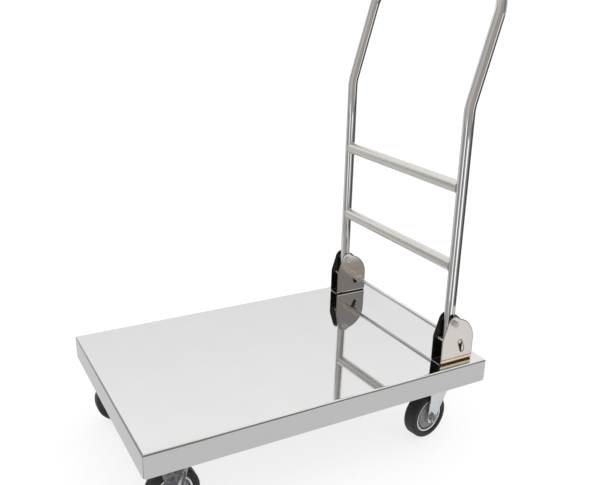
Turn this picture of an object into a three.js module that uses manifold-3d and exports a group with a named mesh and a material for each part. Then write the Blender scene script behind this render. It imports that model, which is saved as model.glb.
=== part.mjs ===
// Platform luggage cart: a pressed steel deck on two fixed and two swivel casters, with a U-shaped
// push handle that folds down over the deck once the foot-operated lock bar is pressed.
// Millimetres, +Z up, +X towards the handle, origin on the floor under the middle of the deck.
// "Left" and "right" are those of a person pushing the cart: left is at -Y.
import * as THREE from 'three';
import { mergeVertices } from 'three/addons/utils/BufferGeometryUtils.js';
import Module from 'manifold-3d';

const wasm = await Module();
wasm.setup();

// ---- driving dimensions ------------------------------------------------------------------------
const GAP = 0.3; // left between pieces that touch

const DECK = { length: 740, width: 480, top: 185, skirt: 49, sheet: 2, bend: 4.5, flangeCorner: 6, seam: 1.2 };
const CROSSMEMBER = { width: 100, sheet: 2, sideGap: 6 };
const SPINE = { width: 60 };

const PIVOT = { x: 292, height: 89 }; // height is above the deck
const PIVOT_Z = DECK.top + PIVOT.height;
const CHANNEL = { y: 204, width: 32, sheet: 2, bend: 5, front: -27, rear: 53.5, shoulder: 56, nose: 16 };
const HUMP = { x: -1, height: 46 }; // centre of the bracket's large arc, from the pivot and the deck
const BOLT = { radius: 4, head: 5.3, nut: 7, flats: 13 };
const BUSH = { radius: 6 };
const STOP = { radius: 2.5, height: 49 };

const TUBE = { radius: 11, wall: 1.2, legY: 201.6, belowPivot: 40 };
const LEAN = THREE.MathUtils.degToRad(16);
const KNEE = { height: 525, radius: 85 }; // the heights of the handle are above the deck
const HANDLE_TOP = { height: 757, radius: 70 };
const CROSS_BAR = { radius: 12.5, wall: 1.2, lower: 208, upper: 370 };
const PLUG = { flange: 1.5, depth: 8 };

const LOCK = { radius: 4.5, x: 19.5, height: 45, travelX: 6.5, travelZ: -18.5, slotRadius: 5 };
const COLLAR = { radius: 8, length: 28, screw: 2 };
const SPRING = { wire: 0.4, coil: 1.8, turns: 10, sides: 5, perTurn: 6 };

const CASTER = { height: 136, plateX: 95, plateY: 67, sheet: 2.5, boltX: 36, boltY: 24, boltHole: 4.5 };
const SWIVEL = { x: 295, y: 176, trail: 28, angle: THREE.MathUtils.degToRad(10) };
const FIXED = { x: -301, y: 176 };
const FORK = { inner: 19, sheet: 2.5, corner: 8, tip: 12.5 };
const WHEEL = { radius: 50, width: 32, shoulder: 7, rim: 37, bore: 8.3 };
const AXLE = { radius: 5, head: 6.4, nut: 8, flats: 17, sleeve: 8 };

// ---- geometry helpers --------------------------------------------------------------------------
const toSolid = (geometry) => {
  const bare = geometry.clone();
  bare.deleteAttribute('normal');
  bare.deleteAttribute('uv');
  const merged = mergeVertices(bare, 1e-4);
  return new wasm.Manifold(new wasm.Mesh({
    numProp: 3,
    vertProperties: new Float32Array(merged.attributes.position.array),
    triVerts: new Uint32Array(merged.index.array),
  }));
};

const toGeometry = (solid) => {
  const mesh = solid.getMesh();
  const geometry = new THREE.BufferGeometry();
  geometry.setAttribute('position', new THREE.BufferAttribute(mesh.vertProperties, 3));
  geometry.setIndex(new THREE.BufferAttribute(mesh.triVerts, 1));
  return geometry;
};

const cut = (solid, tools) => tools.reduce((left, tool) => left.subtract(tool), solid);

const axes = (x, y, z) => new THREE.Matrix4().makeBasis(x, y, z);
const X = new THREE.Vector3(1, 0, 0);
const Y = new THREE.Vector3(0, 1, 0);
const Z = new THREE.Vector3(0, 0, 1);

const extrude = (shape, depth, arcs) =>
  new THREE.ExtrudeGeometry(shape, { depth, bevelEnabled: false, curveSegments: arcs });

// a shape drawn in Y and Z, swept along X
const prismX = (shape, from, to, arcs = 6) =>
  toSolid(extrude(shape, to - from, arcs).applyMatrix4(axes(Y, Z, X)).translate(from, 0, 0));

// a shape drawn in X and Z, swept along Y
const prismY = (shape, from, to, arcs = 6) =>
  toSolid(extrude(shape, to - from, arcs).applyMatrix4(axes(X, Z, Y.clone().negate())).translate(0, to, 0));

// a shape drawn in X and Y, swept along Z
const prismZ = (shape, from, to, arcs = 6) => toSolid(extrude(shape, to - from, arcs).translate(0, 0, from));

const box = (x0, x1, y0, y1, z0, z1) =>
  toSolid(new THREE.BoxGeometry(x1 - x0, y1 - y0, z1 - z0).translate((x0 + x1) / 2, (y0 + y1) / 2, (z0 + z1) / 2));

const circle = (x, y, radius) => new THREE.Shape().absarc(x, y, radius, 0, 2 * Math.PI);

const hexagon = (flats) => {
  const reach = flats / Math.sqrt(3);
  const corners = [0, 1, 2, 3, 4, 5].map((i) => {
    const angle = (i * Math.PI) / 3;
    return new THREE.Vector2(reach * Math.cos(angle), reach * Math.sin(angle));
  });
  return new THREE.Shape(corners);
};

const rodY = (x, z, radius, from, to, arcs = 6) => prismY(circle(x, z, radius), from, to, arcs);

const moved = (shape, x, y) => new THREE.Shape(shape.getPoints().map((p) => p.add(new THREE.Vector2(x, y))));

const roundedRectangle = (width, height, radius) => {
  const x = width / 2 - radius;
  const y = height / 2 - radius;
  const shape = new THREE.Shape();
  shape.absarc(x, -y, radius, -Math.PI / 2, 0);
  shape.absarc(x, y, radius, 0, Math.PI / 2);
  shape.absarc(-x, y, radius, Math.PI / 2, Math.PI);
  shape.absarc(-x, -y, radius, Math.PI, 1.5 * Math.PI);
  return shape;
};

// an outline with a flat foot and its two upper corners rounded
const arch = (halfWidth, bottom, top, radius) => {
  const shape = new THREE.Shape();
  shape.moveTo(-halfWidth, bottom);
  shape.lineTo(halfWidth, bottom);
  shape.absarc(halfWidth - radius, top - radius, radius, 0, Math.PI / 2);
  shape.absarc(-halfWidth + radius, top - radius, radius, Math.PI / 2, Math.PI);
  return shape;
};

// a solid of revolution about the world X, Y or Z axis; the profile is [radius, along] pairs
const revolve = (profile, segments, axis = Z) => {
  const points = [...profile, profile[0]].map(([r, along]) => new THREE.Vector2(r, along));
  const turn = new THREE.Quaternion().setFromUnitVectors(Y, axis);
  return toSolid(new THREE.LatheGeometry(points, segments).applyQuaternion(turn));
};

const arcPoints = (cx, cy, radius, from, to, count) =>
  Array.from({ length: count + 1 }, (_, i) => {
    const angle = THREE.MathUtils.degToRad(from + ((to - from) * i) / count);
    return [cx + radius * Math.cos(angle), cy + radius * Math.sin(angle)];
  });

// a path through chosen stations, so that straight runs cost no extra faces
class Stations extends THREE.Curve {
  constructor(points) {
    super();
    this.points = points;
  }

  getPoint(t) {
    return this.points[Math.round(t * (this.points.length - 1))].clone();
  }

  getPointAt(u) {
    return this.getPoint(u);
  }

  getSpacedPoints() {
    return this.points;
  }

  getTangentAt(u) {
    const last = this.points.length - 1;
    const i = Math.round(u * last);
    const ahead = this.points[Math.min(i + 1, last)].clone().sub(this.points[Math.min(i, last - 1)]).normalize();
    const behind = this.points[Math.max(i, 1)].clone().sub(this.points[Math.max(i - 1, 0)]).normalize();
    return ahead.add(behind).normalize();
  }
}

const sweep = (points, section, arcs) =>
  toSolid(new THREE.ExtrudeGeometry(section, {
    steps: points.length - 1,
    extrudePath: new Stations(points),
    curveSegments: arcs,
  }));

const tubeSection = (radius, wall) => {
  const section = circle(0, 0, radius);
  section.holes.push(circle(0, 0, radius - wall));
  return section;
};

// ---- the assembly ------------------------------------------------------------------------------
const cart = new THREE.Group();

const FINISH = {
  polished: { color: 0xd6d8d9, roughness: 0.08, metalness: 1 },
  satin: { color: 0xb9b4a9, roughness: 0.35, metalness: 1 },
  zinc: { color: 0xcfd8dc, roughness: 0.3, metalness: 1 },
  spring: { color: 0x9a9a98, roughness: 0.4, metalness: 1 },
  core: { color: 0x6f7070, roughness: 0.5, metalness: 0 },
  rubber: { color: 0x1b1c1c, roughness: 0.7, metalness: 0 },
  plug: { color: 0x242424, roughness: 0.6, metalness: 0 },
};

const add = (name, solid, finish, parent = cart) => {
  const mesh = new THREE.Mesh(toGeometry(solid), new THREE.MeshStandardMaterial(FINISH[finish]));
  mesh.name = name;
  parent.add(mesh);
};

const SIDES = [{ name: 'left', sign: -1 }, { name: 'right', sign: 1 }];

// ---- deck --------------------------------------------------------------------------------------
const deckBlock = (inset, bottom) => {
  const top = DECK.top - inset;
  const bend = DECK.bend - inset;
  const x = DECK.length / 2 - inset;
  const y = DECK.width / 2 - inset;
  return prismX(arch(y, bottom, top, bend), -x, x, 4).intersect(prismY(arch(x, bottom, top, bend), -y, y, 4));
};

// the spandrel that rounds a flange's lower corner, drawn at the corner (x, z); side says which way is out
const cornerWaste = (x, z, side) => {
  const r = DECK.flangeCorner;
  const shape = new THREE.Shape();
  shape.moveTo(x + side, z + r);
  shape.lineTo(x + side, z - 1);
  shape.lineTo(x - side * r, z - 1);
  shape.lineTo(x - side * r, z);
  shape.absarc(x - side * r, z + r, r, -Math.PI / 2, side > 0 ? 0 : -Math.PI, side < 0);
  return shape;
};

const deckTray = () => {
  const bottom = DECK.top - DECK.skirt;
  const x = DECK.length / 2;
  const y = DECK.width / 2;
  const tools = [deckBlock(DECK.sheet, bottom - 5)];
  for (const sx of [-1, 1]) {
    for (const sy of [-1, 1]) {
      const across = [sy * (y + 1), sy * (y - DECK.sheet)].sort((a, b) => a - b);
      const along = [sx * (x + 1), sx * (x - DECK.sheet)].sort((a, b) => a - b);
      tools.push(prismY(cornerWaste(sx * x, bottom, sx), ...across, 4));
      tools.push(prismX(cornerWaste(sy * y, bottom, sy), ...along, 4));
      const half = DECK.seam / 2;
      tools.push(box(sx * x - half, sx * x + half, sy * y - half, sy * y + half, bottom - 1, DECK.top - DECK.bend));
    }
  }
  // shallow seats under the handle brackets
  for (const { sign } of SIDES) {
    const half = CHANNEL.width / 2 + GAP;
    const middle = sign * CHANNEL.y;
    const front = PIVOT.x + CHANNEL.front - GAP;
    tools.push(box(front, PIVOT.x + CHANNEL.rear + GAP, middle - half, middle + half, DECK.top - GAP, DECK.top + 1));
  }
  return cut(deckBlock(0, bottom), tools);
};

// an open-topped channel under the deck, drawn across its run
const channelSection = (middle, width) => {
  const low = CASTER.height + GAP;
  const high = DECK.top - DECK.sheet - GAP;
  const t = CROSSMEMBER.sheet;
  const half = width / 2;
  const outline = [[-half, high], [-half, low], [half, low], [half, high], [half - t, high], [half - t, low + t],
    [-half + t, low + t], [-half + t, high]];
  return new THREE.Shape(outline.map(([u, v]) => new THREE.Vector2(middle + u, v)));
};

const boltHoles = (x, y) =>
  [-1, 1].flatMap((sx) => [-1, 1].map((sy) => {
    const hole = circle(x + sx * CASTER.boltX, y + sy * CASTER.boltY, CASTER.boltHole);
    return prismZ(hole, CASTER.height - 10, CASTER.height + 10, 5);
  }));

const crossmember = (x) => {
  const reach = DECK.width / 2 - DECK.sheet - CROSSMEMBER.sideGap;
  const channel = prismY(channelSection(x, CROSSMEMBER.width), -reach, reach);
  return cut(channel, [...boltHoles(x, -SWIVEL.y), ...boltHoles(x, SWIVEL.y)]);
};

add('deck_tray', deckTray(), 'polished');
add('crossmember_front', crossmember(FIXED.x), 'satin');
add('crossmember_rear', crossmember(SWIVEL.x), 'satin');
const spineFront = FIXED.x + CROSSMEMBER.width / 2 + GAP;
const spineRear = SWIVEL.x - CROSSMEMBER.width / 2 - GAP;
add('spine_channel', prismX(channelSection(0, SPINE.width), spineFront, spineRear), 'satin');

// ---- handle brackets ---------------------------------------------------------------------------
const bracketOutline = () => {
  const hump = new THREE.Vector2(PIVOT.x + HUMP.x, DECK.top + HUMP.height);
  const humpRadius = CHANNEL.rear - HUMP.x;
  const nose = new THREE.Vector2(PIVOT.x, PIVOT_Z);
  const shoulder = new THREE.Vector2(PIVOT.x + CHANNEL.front, DECK.top + CHANNEL.shoulder);
  // where the large arc meets the round nose, seen from both centres
  const between = nose.clone().sub(hump);
  const apart = between.length();
  const humpHalf = Math.acos((apart ** 2 + humpRadius ** 2 - CHANNEL.nose ** 2) / (2 * apart * humpRadius));
  const humpEnd = between.angle() - humpHalf;
  const meet = new THREE.Vector2(Math.cos(humpEnd), Math.sin(humpEnd)).multiplyScalar(humpRadius).add(hump);
  const noseStart = meet.sub(nose).angle();
  // the straight front edge leans on the nose as a tangent
  const toNose = nose.clone().sub(shoulder);
  const noseEnd = toNose.angle() + Math.asin(CHANNEL.nose / toNose.length()) + Math.PI / 2;
  const shape = new THREE.Shape();
  shape.moveTo(shoulder.x, DECK.top);
  shape.lineTo(PIVOT.x + CHANNEL.rear, DECK.top);
  shape.absarc(hump.x, hump.y, humpRadius, 0, humpEnd);
  shape.absarc(nose.x, nose.y, CHANNEL.nose, noseStart, noseEnd);
  shape.lineTo(shoulder.x, shoulder.y);
  return shape;
};

// the slot that the lock bar slides in, a little slanted
const slotOutline = () => {
  const x = PIVOT.x + LOCK.x;
  const z = DECK.top + LOCK.height;
  const down = Math.atan2(LOCK.travelZ, LOCK.travelX);
  const shape = new THREE.Shape();
  shape.absarc(x, z, LOCK.slotRadius, down + Math.PI / 2, down + 1.5 * Math.PI);
  shape.absarc(x + LOCK.travelX, z + LOCK.travelZ, LOCK.slotRadius, down - Math.PI / 2, down + Math.PI / 2);
  return shape;
};

const uSection = (middle, half, floor, bend) => {
  const shape = new THREE.Shape();
  shape.moveTo(middle + half, DECK.top + 140);
  shape.lineTo(middle - half, DECK.top + 140);
  shape.absarc(middle - half + bend, floor + bend, bend, Math.PI, 1.5 * Math.PI);
  shape.absarc(middle + half - bend, floor + bend, bend, -Math.PI / 2, 0);
  return shape;
};

const bracket = (middle) => {
  const half = CHANNEL.width / 2;
  const t = CHANNEL.sheet;
  const wide = [middle - half - 5, middle + half + 5];
  const span = [PIVOT.x + CHANNEL.front - 5, PIVOT.x + CHANNEL.rear + 5];
  return prismX(uSection(middle, half, DECK.top, CHANNEL.bend), ...span, 3)
    .subtract(prismX(uSection(middle, half - t, DECK.top + t, CHANNEL.bend - t), ...span, 3))
    .intersect(prismY(bracketOutline(), ...wide, 10))
    .subtract(prismY(slotOutline(), ...wide, 6))
    .subtract(rodY(PIVOT.x, PIVOT_Z, BOLT.radius + GAP, ...wide));
};

const hexBolt = (x, z, size, from, headEnd, outward) => {
  const head = [headEnd, headEnd + outward * size.head].sort((a, b) => a - b);
  const shaft = [from, headEnd].sort((a, b) => a - b);
  return rodY(x, z, size.radius, ...shaft).add(prismY(moved(hexagon(size.flats), x, z), ...head));
};

const hexNut = (x, z, size, face, outward) => {
  const span = [face, face + outward * size.nut].sort((a, b) => a - b);
  const wide = [span[0] - 1, span[1] + 1];
  return prismY(moved(hexagon(size.flats), x, z), ...span).subtract(rodY(x, z, size.radius + GAP, ...wide));
};

// the extension spring from the pivot down to the lock bar, in the space beside the leg
const lockSpring = (y) => {
  const pivot = new THREE.Vector3(PIVOT.x, y, PIVOT_Z);
  const bar = new THREE.Vector3(PIVOT.x + LOCK.x, y, DECK.top + LOCK.height);
  const down = bar.clone().sub(pivot).normalize();
  const side = new THREE.Vector3().crossVectors(Y, down);
  const hook = BUSH.radius + GAP + 0.2 + SPRING.wire;
  const points = [];
  for (let step = 0; step <= 9; step += 1) {
    const angle = (Math.PI * 1.5 * step) / 9 + Math.PI / 2;
    points.push(pivot.clone().addScaledVector(down, -hook * Math.cos(angle + Math.PI))
      .addScaledVector(side, hook * Math.sin(angle + Math.PI)));
  }
  const start = hook + 4;
  const end = bar.distanceTo(pivot) - LOCK.radius - 4;
  const steps = SPRING.turns * SPRING.perTurn;
  for (let step = 0; step <= steps; step += 1) {
    const angle = (2 * Math.PI * step) / SPRING.perTurn;
    const along = start + ((end - start) * step) / steps;
    points.push(pivot.clone().addScaledVector(down, along).addScaledVector(side, SPRING.coil * Math.cos(angle))
      .addScaledVector(Y, SPRING.coil * Math.sin(angle)));
  }
  points.push(pivot.clone().addScaledVector(down, end + 2));
  points.push(pivot.clone().addScaledVector(down, end + 3.5));
  return sweep(points, circle(0, 0, SPRING.wire), SPRING.sides / 2);
};

for (const { name, sign } of SIDES) {
  const middle = sign * CHANNEL.y;
  const outer = middle + (sign * CHANNEL.width) / 2;
  const inner = middle - (sign * CHANNEL.width) / 2;
  const outerFace = outer + sign * GAP;
  const innerFace = inner - sign * GAP;
  const clear = CHANNEL.width / 2 - CHANNEL.sheet - GAP;
  const stopX = PIVOT.x - TUBE.radius - GAP - STOP.radius;
  add(`handle_bracket_${name}`, bracket(middle), 'polished');
  add(`pivot_bolt_${name}`, hexBolt(PIVOT.x, PIVOT_Z, BOLT, outerFace + sign * (BOLT.nut + 2), innerFace, -sign), 'zinc');
  add(`pivot_nut_${name}`, hexNut(PIVOT.x, PIVOT_Z, BOLT, outerFace, sign), 'zinc');
  add(`stop_pin_${name}`, rodY(stopX, DECK.top + STOP.height, STOP.radius, middle - clear, middle + clear, 5), 'zinc');
  const springY = outer - sign * (CHANNEL.sheet + GAP + SPRING.coil + SPRING.wire + 0.2);
  add(`lock_spring_${name}`, lockSpring(springY), 'spring');
}

// ---- folding handle ----------------------------------------------------------------------------
const handlePath = () => {
  const up = new THREE.Vector3(Math.sin(LEAN), 0, Math.cos(LEAN));
  const knee = new THREE.Vector3(PIVOT.x, -TUBE.legY, DECK.top + KNEE.height);
  const cutback = KNEE.radius * Math.tan(LEAN / 2);
  const kneeCentre = knee.clone().addScaledVector(Z, -cutback).addScaledVector(X, KNEE.radius);
  const points = [new THREE.Vector3(PIVOT.x, -TUBE.legY, PIVOT_Z - TUBE.belowPivot)];
  const kneeSteps = 3;
  for (let step = 0; step <= kneeSteps; step += 1) {
    const angle = (LEAN * step) / kneeSteps;
    points.push(kneeCentre.clone().addScaledVector(X, -KNEE.radius * Math.cos(angle))
      .addScaledVector(Z, KNEE.radius * Math.sin(angle)));
  }
  const rise = (HANDLE_TOP.height - KNEE.height) / Math.cos(LEAN);
  const corner = knee.clone().addScaledVector(up, rise - HANDLE_TOP.radius).addScaledVector(Y, HANDLE_TOP.radius);
  const cornerSteps = 6;
  for (let step = 0; step <= cornerSteps; step += 1) {
    const angle = ((Math.PI / 2) * step) / cornerSteps;
    points.push(corner.clone().addScaledVector(Y, -HANDLE_TOP.radius * Math.cos(angle))
      .addScaledVector(up, HANDLE_TOP.radius * Math.sin(angle)));
  }
  const mirrored = points.map((p) => new THREE.Vector3(p.x, -p.y, p.z)).reverse();
  return [...points, ...mirrored];
};

const handleTube = () => {
  const crossHoles = SIDES.map(({ sign }) => {
    const span = [sign * TUBE.legY - 20, sign * TUBE.legY + 20];
    return rodY(PIVOT.x, PIVOT_Z, BUSH.radius + GAP, ...span);
  });
  return cut(sweep(handlePath(), tubeSection(TUBE.radius, TUBE.wall), 8), crossHoles);
};

const crossBar = (height) => {
  const z = DECK.top + height;
  const reach = TUBE.legY - TUBE.radius * 0.6;
  const legs = SIDES.map(({ sign }) => prismZ(circle(PIVOT.x, sign * TUBE.legY, TUBE.radius + GAP), z - 20, z + 20, 8));
  const bar = rodY(PIVOT.x, z, CROSS_BAR.radius, -reach, reach, 8);
  return cut(bar, [rodY(PIVOT.x, z, CROSS_BAR.radius - CROSS_BAR.wall, -reach - 1, reach + 1, 8), ...legs]);
};

add('handle_tube', handleTube(), 'polished');
add('lower_cross_bar', crossBar(CROSS_BAR.lower), 'satin');
add('upper_cross_bar', crossBar(CROSS_BAR.upper), 'satin');

const legPlug = (y) => {
  const low = PIVOT_Z - TUBE.belowPivot - GAP;
  const fit = TUBE.radius - TUBE.wall - GAP;
  const profile = [[0, low - PLUG.flange], [TUBE.radius, low - PLUG.flange], [TUBE.radius, low], [fit, low],
    [fit, low + PLUG.depth], [0, low + PLUG.depth]];
  return revolve(profile, 16).translate([PIVOT.x, y, 0]);
};

for (const { name, sign } of SIDES) {
  const middle = sign * CHANNEL.y;
  const clear = CHANNEL.width / 2 - CHANNEL.sheet - GAP;
  const bore = rodY(PIVOT.x, PIVOT_Z, BOLT.radius + GAP, middle - clear - 1, middle + clear + 1);
  add(`pivot_bush_${name}`, rodY(PIVOT.x, PIVOT_Z, BUSH.radius, middle - clear, middle + clear).subtract(bore), 'zinc');
  add(`leg_plug_${name}`, legPlug(sign * TUBE.legY), 'plug');
}

// ---- lock bar ----------------------------------------------------------------------------------
const LOCK_X = PIVOT.x + LOCK.x;
const LOCK_Z = DECK.top + LOCK.height;
const lockReach = CHANNEL.y + CHANNEL.width / 2 - 0.5;
add('lock_bar', rodY(LOCK_X, LOCK_Z, LOCK.radius, -lockReach, lockReach, 8), 'polished');

for (const { name, sign } of SIDES) {
  const from = sign * (CHANNEL.y - CHANNEL.width / 2 - 2 * GAP);
  const to = from - sign * COLLAR.length;
  const span = [from, to].sort((a, b) => a - b);
  const screwY = to + sign * 6;
  // the set screw stands square on the bar, facing forwards and up
  const screwAxis = new THREE.Vector3(-1, 0, 1).normalize();
  const screw = (radius, start, end) =>
    revolve([[0, start], [radius, start], [radius, end], [0, end]], 10, screwAxis).translate([LOCK_X, screwY, LOCK_Z]);
  const sleeve = rodY(LOCK_X, LOCK_Z, COLLAR.radius, ...span, 8)
    .subtract(rodY(LOCK_X, LOCK_Z, LOCK.radius + GAP, span[0] - 1, span[1] + 1, 8))
    .subtract(screw(COLLAR.screw + GAP, LOCK.radius, COLLAR.radius + 2));
  add(`lock_collar_${name}`, sleeve, 'polished');
  add(`collar_screw_${name}`, screw(COLLAR.screw, LOCK.radius + GAP, COLLAR.radius + 0.4), 'zinc');
}

// ---- wheels ------------------------------------------------------------------------------------
// each wheel is drawn about its own axle and then placed
const halfWheel = (half) => [...half, ...half.map(([r, along]) => [r, -along]).reverse()];

const tyre = () => {
  const half = WHEEL.width / 2;
  const s = WHEEL.shoulder;
  const shoulder = arcPoints(half - s, WHEEL.radius - s, s, 90, 0, 4).map(([along, r]) => [r, along]);
  return revolve(halfWheel([...shoulder, [WHEEL.rim + GAP, half - 3]]), 32, Y);
};

const wheelCore = () => {
  const half = WHEEL.width / 2;
  const face = [[WHEEL.rim, half - 5], [32, half - 5], [31, half - 9], [29, half - 9], [28, half - 5], [14, half - 4],
    [13, half + 1.5], [WHEEL.bore, half + 1.5]];
  return revolve(halfWheel(face), 28, Y);
};

// the axle's nut faces the side of the cart
const addWheel = (group, name, outward) => {
  const legFace = FORK.inner + FORK.sheet + GAP;
  const sleeveHalf = FORK.inner - GAP;
  add(`axle_bolt_${name}`, hexBolt(0, 0, AXLE, outward * (legFace + AXLE.nut + 2.5), -outward * legFace, -outward), 'zinc', group);
  add(`axle_nut_${name}`, hexNut(0, 0, AXLE, outward * legFace, outward), 'zinc', group);
  const bore = rodY(0, 0, AXLE.radius + GAP, -sleeveHalf - 1, sleeveHalf + 1);
  add(`axle_sleeve_${name}`, rodY(0, 0, AXLE.sleeve, -sleeveHalf, sleeveHalf).subtract(bore), 'zinc', group);
  add(`wheel_core_${name}`, wheelCore(), 'core', group);
  add(`tyre_${name}`, tyre(), 'rubber', group);
};

// ---- forks and caster plates -------------------------------------------------------------------
// the side of a fork: from the yoke's front and rear ends down to the round tip at the axle
const forkSide = (frontX, rearX, top, axleX) => {
  const shape = new THREE.Shape();
  const tip = new THREE.Vector2(axleX, WHEEL.radius);
  const tangent = (x, side) => {
    const toTop = new THREE.Vector2(x, top).sub(tip);
    return toTop.angle() + side * Math.acos(FORK.tip / toTop.length());
  };
  shape.moveTo(rearX, top);
  shape.lineTo(frontX, top);
  shape.absarc(tip.x, tip.y, FORK.tip, tangent(frontX, 1), tangent(rearX, -1) + 2 * Math.PI);
  return shape;
};

const forkYoke = (side, top) => {
  const outer = FORK.inner + FORK.sheet;
  const legs = prismX(arch(outer, 0, top, FORK.corner), -80, 60, 3)
    .subtract(prismX(arch(FORK.inner, -1, top - FORK.sheet, FORK.corner - FORK.sheet), -81, 61, 3));
  return legs.intersect(prismY(side, -outer - 1, outer + 1, 8));
};

const casterPlate = (thickness) => {
  const outline = roundedRectangle(CASTER.plateX, CASTER.plateY, 8);
  return cut(prismZ(outline, CASTER.height - thickness, CASTER.height, 3), boltHoles(0, 0));
};

const RACE = { inner: 18, outer: 27, top: CASTER.height - CASTER.sheet - GAP, bottom: 124 };
const YOKE_TOP = RACE.bottom - GAP;
const KINGPIN = { radius: 5, head: 9, headHeight: 4 };

for (const { name: side, sign } of SIDES) {
  const name = `rear_${side}`;
  const caster = new THREE.Group();
  caster.position.set(SWIVEL.x, sign * SWIVEL.y, 0);
  caster.rotation.z = SWIVEL.angle;
  cart.add(caster);

  const kingpinHole = prismZ(circle(0, 0, KINGPIN.radius + GAP), 90, CASTER.height + 5);
  const plateGroup = new THREE.Group();
  plateGroup.position.copy(caster.position);
  cart.add(plateGroup);
  add(`caster_plate_${name}`, casterPlate(CASTER.sheet).subtract(kingpinHole), 'zinc', plateGroup);
  const race = [[RACE.inner, RACE.top], [RACE.inner + 3, RACE.bottom], [RACE.outer - 2, RACE.bottom],
    [RACE.outer, RACE.bottom + 3], [RACE.outer, RACE.top]];
  add(`swivel_race_${name}`, revolve(race, 24), 'zinc', plateGroup);
  const head = YOKE_TOP - FORK.sheet - GAP;
  const pin = [[0, head - KINGPIN.headHeight], [KINGPIN.head, head - KINGPIN.headHeight], [KINGPIN.head, head],
    [KINGPIN.radius, head], [KINGPIN.radius, CASTER.height - GAP], [0, CASTER.height - GAP]];
  add(`kingpin_${name}`, revolve(pin, 16), 'zinc', plateGroup);

  const axles = [rodY(-SWIVEL.trail, WHEEL.radius, AXLE.radius + GAP, -40, 40)];
  const fork = cut(forkYoke(forkSide(-33, 27, YOKE_TOP, -SWIVEL.trail), YOKE_TOP), [kingpinHole, ...axles]);
  add(`swivel_fork_${name}`, fork, 'zinc', caster);
  const wheel = new THREE.Group();
  wheel.position.set(-SWIVEL.trail, 0, WHEEL.radius);
  caster.add(wheel);
  addWheel(wheel, name, sign);
}

for (const { name: side, sign } of SIDES) {
  const name = `front_${side}`;
  const caster = new THREE.Group();
  caster.position.set(FIXED.x, sign * FIXED.y, 0);
  cart.add(caster);
  const top = CASTER.height - 0.5;
  const fork = forkYoke(forkSide(-31, 31, top, 0), top)
    .subtract(rodY(0, WHEEL.radius, AXLE.radius + GAP, -40, 40))
    .add(casterPlate(CASTER.sheet));
  add(`fixed_fork_${name}`, fork, 'zinc', caster);
  const wheel = new THREE.Group();
  wheel.position.set(0, 0, WHEEL.radius);
  caster.add(wheel);
  addWheel(wheel, name, sign);
}

export default cart;
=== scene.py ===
"""Looks for the folding platform cart: a polished stainless deck on four casters, with its push handle up.
Built in millimetres in the part's own frame and brought down to metres when each mesh is made."""
import math
import bmesh
import bpy
from mathutils import Matrix, Vector


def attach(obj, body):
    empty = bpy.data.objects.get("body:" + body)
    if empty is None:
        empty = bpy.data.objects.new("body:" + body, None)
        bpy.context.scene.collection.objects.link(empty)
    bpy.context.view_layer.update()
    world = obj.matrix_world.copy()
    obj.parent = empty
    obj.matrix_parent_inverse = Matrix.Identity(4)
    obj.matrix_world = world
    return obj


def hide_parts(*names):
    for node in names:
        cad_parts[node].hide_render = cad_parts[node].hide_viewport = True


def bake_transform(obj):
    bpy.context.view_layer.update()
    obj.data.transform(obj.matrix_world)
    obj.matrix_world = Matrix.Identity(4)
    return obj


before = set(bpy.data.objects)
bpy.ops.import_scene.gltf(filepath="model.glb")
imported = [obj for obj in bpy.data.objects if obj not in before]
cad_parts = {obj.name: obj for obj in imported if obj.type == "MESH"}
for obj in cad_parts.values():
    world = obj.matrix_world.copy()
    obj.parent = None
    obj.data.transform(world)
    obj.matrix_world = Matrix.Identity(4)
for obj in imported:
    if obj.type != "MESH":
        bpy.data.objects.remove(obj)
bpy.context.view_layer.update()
scene = bpy.context.scene

MM = 0.001
TAU = 2 * math.pi
SIDES = (("left", -1), ("right", 1))
CORNERS = [(sx, sy) for sx in (-1, 1) for sy in (-1, 1)]

# ---- dimensions, shared with the part ------------------------------------------------------------
DECK_X, DECK_Y, DECK_TOP, SKIRT, SHEET, BEND = 370.0, 240.0, 185.0, 49.0, 1.5, 4.5
FLANGE_CORNER, SEAM = 6.0, 0.9
PIVOT_X, PIVOT_Z = 292.0, DECK_TOP + 89.0
CHANNEL_Y, CHANNEL_HALF, CHANNEL_BEND, CHANNEL_SHEET = 204.0, 16.0, 5.0, 2.0
# the second of these is the top of the painted gold highlight along each bracket's base
CHANNEL_REAR, HIGHLIGHT_TOP = 53.5, 9.5
TUBE_R, LEG_Y, LEG_BOTTOM = 11.0, 201.6, PIVOT_Z - 40.0
LEAN = math.radians(16)
KNEE_HEIGHT, KNEE_R, TOP_HEIGHT, TOP_R = 525.0, 85.0, 757.0, 70.0
CROSS_BAR_R, CROSS_BARS = 12.5, (("lower", 208.0), ("upper", 370.0))
LOCK_X, LOCK_Z, LOCK_R, SLOT_R = PIVOT_X + 19.5, DECK_TOP + 45.0, 4.5, 5.0
LOCK_TRAVEL_X, LOCK_TRAVEL_Z = 6.5, -18.5
STOP_X, STOP_Z = PIVOT_X - 13.8, DECK_TOP + 49
SWIVEL_X, FIXED_X, WHEEL_Y, TRAIL, SWIVEL_ANGLE = 295.0, -301.0, 176.0, 28.0, math.radians(10)
PLATE_TOP, PLATE_SHEET, YOKE_TOP = 136.0, 2.5, 123.7
FORK_INNER, FORK_SHEET, FORK_TIP = 19.0, 2.5, 12.5
WHEEL_R, WHEEL_HALF = 50.0, 16.0
PLATE_HOLE_X, PLATE_HOLE_Y, KING_HOLE_R = 36, 24, 5.3
PIVOT_FLATS, AXLE_FLATS, PLATE_FLATS = 13, 17, 12


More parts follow.
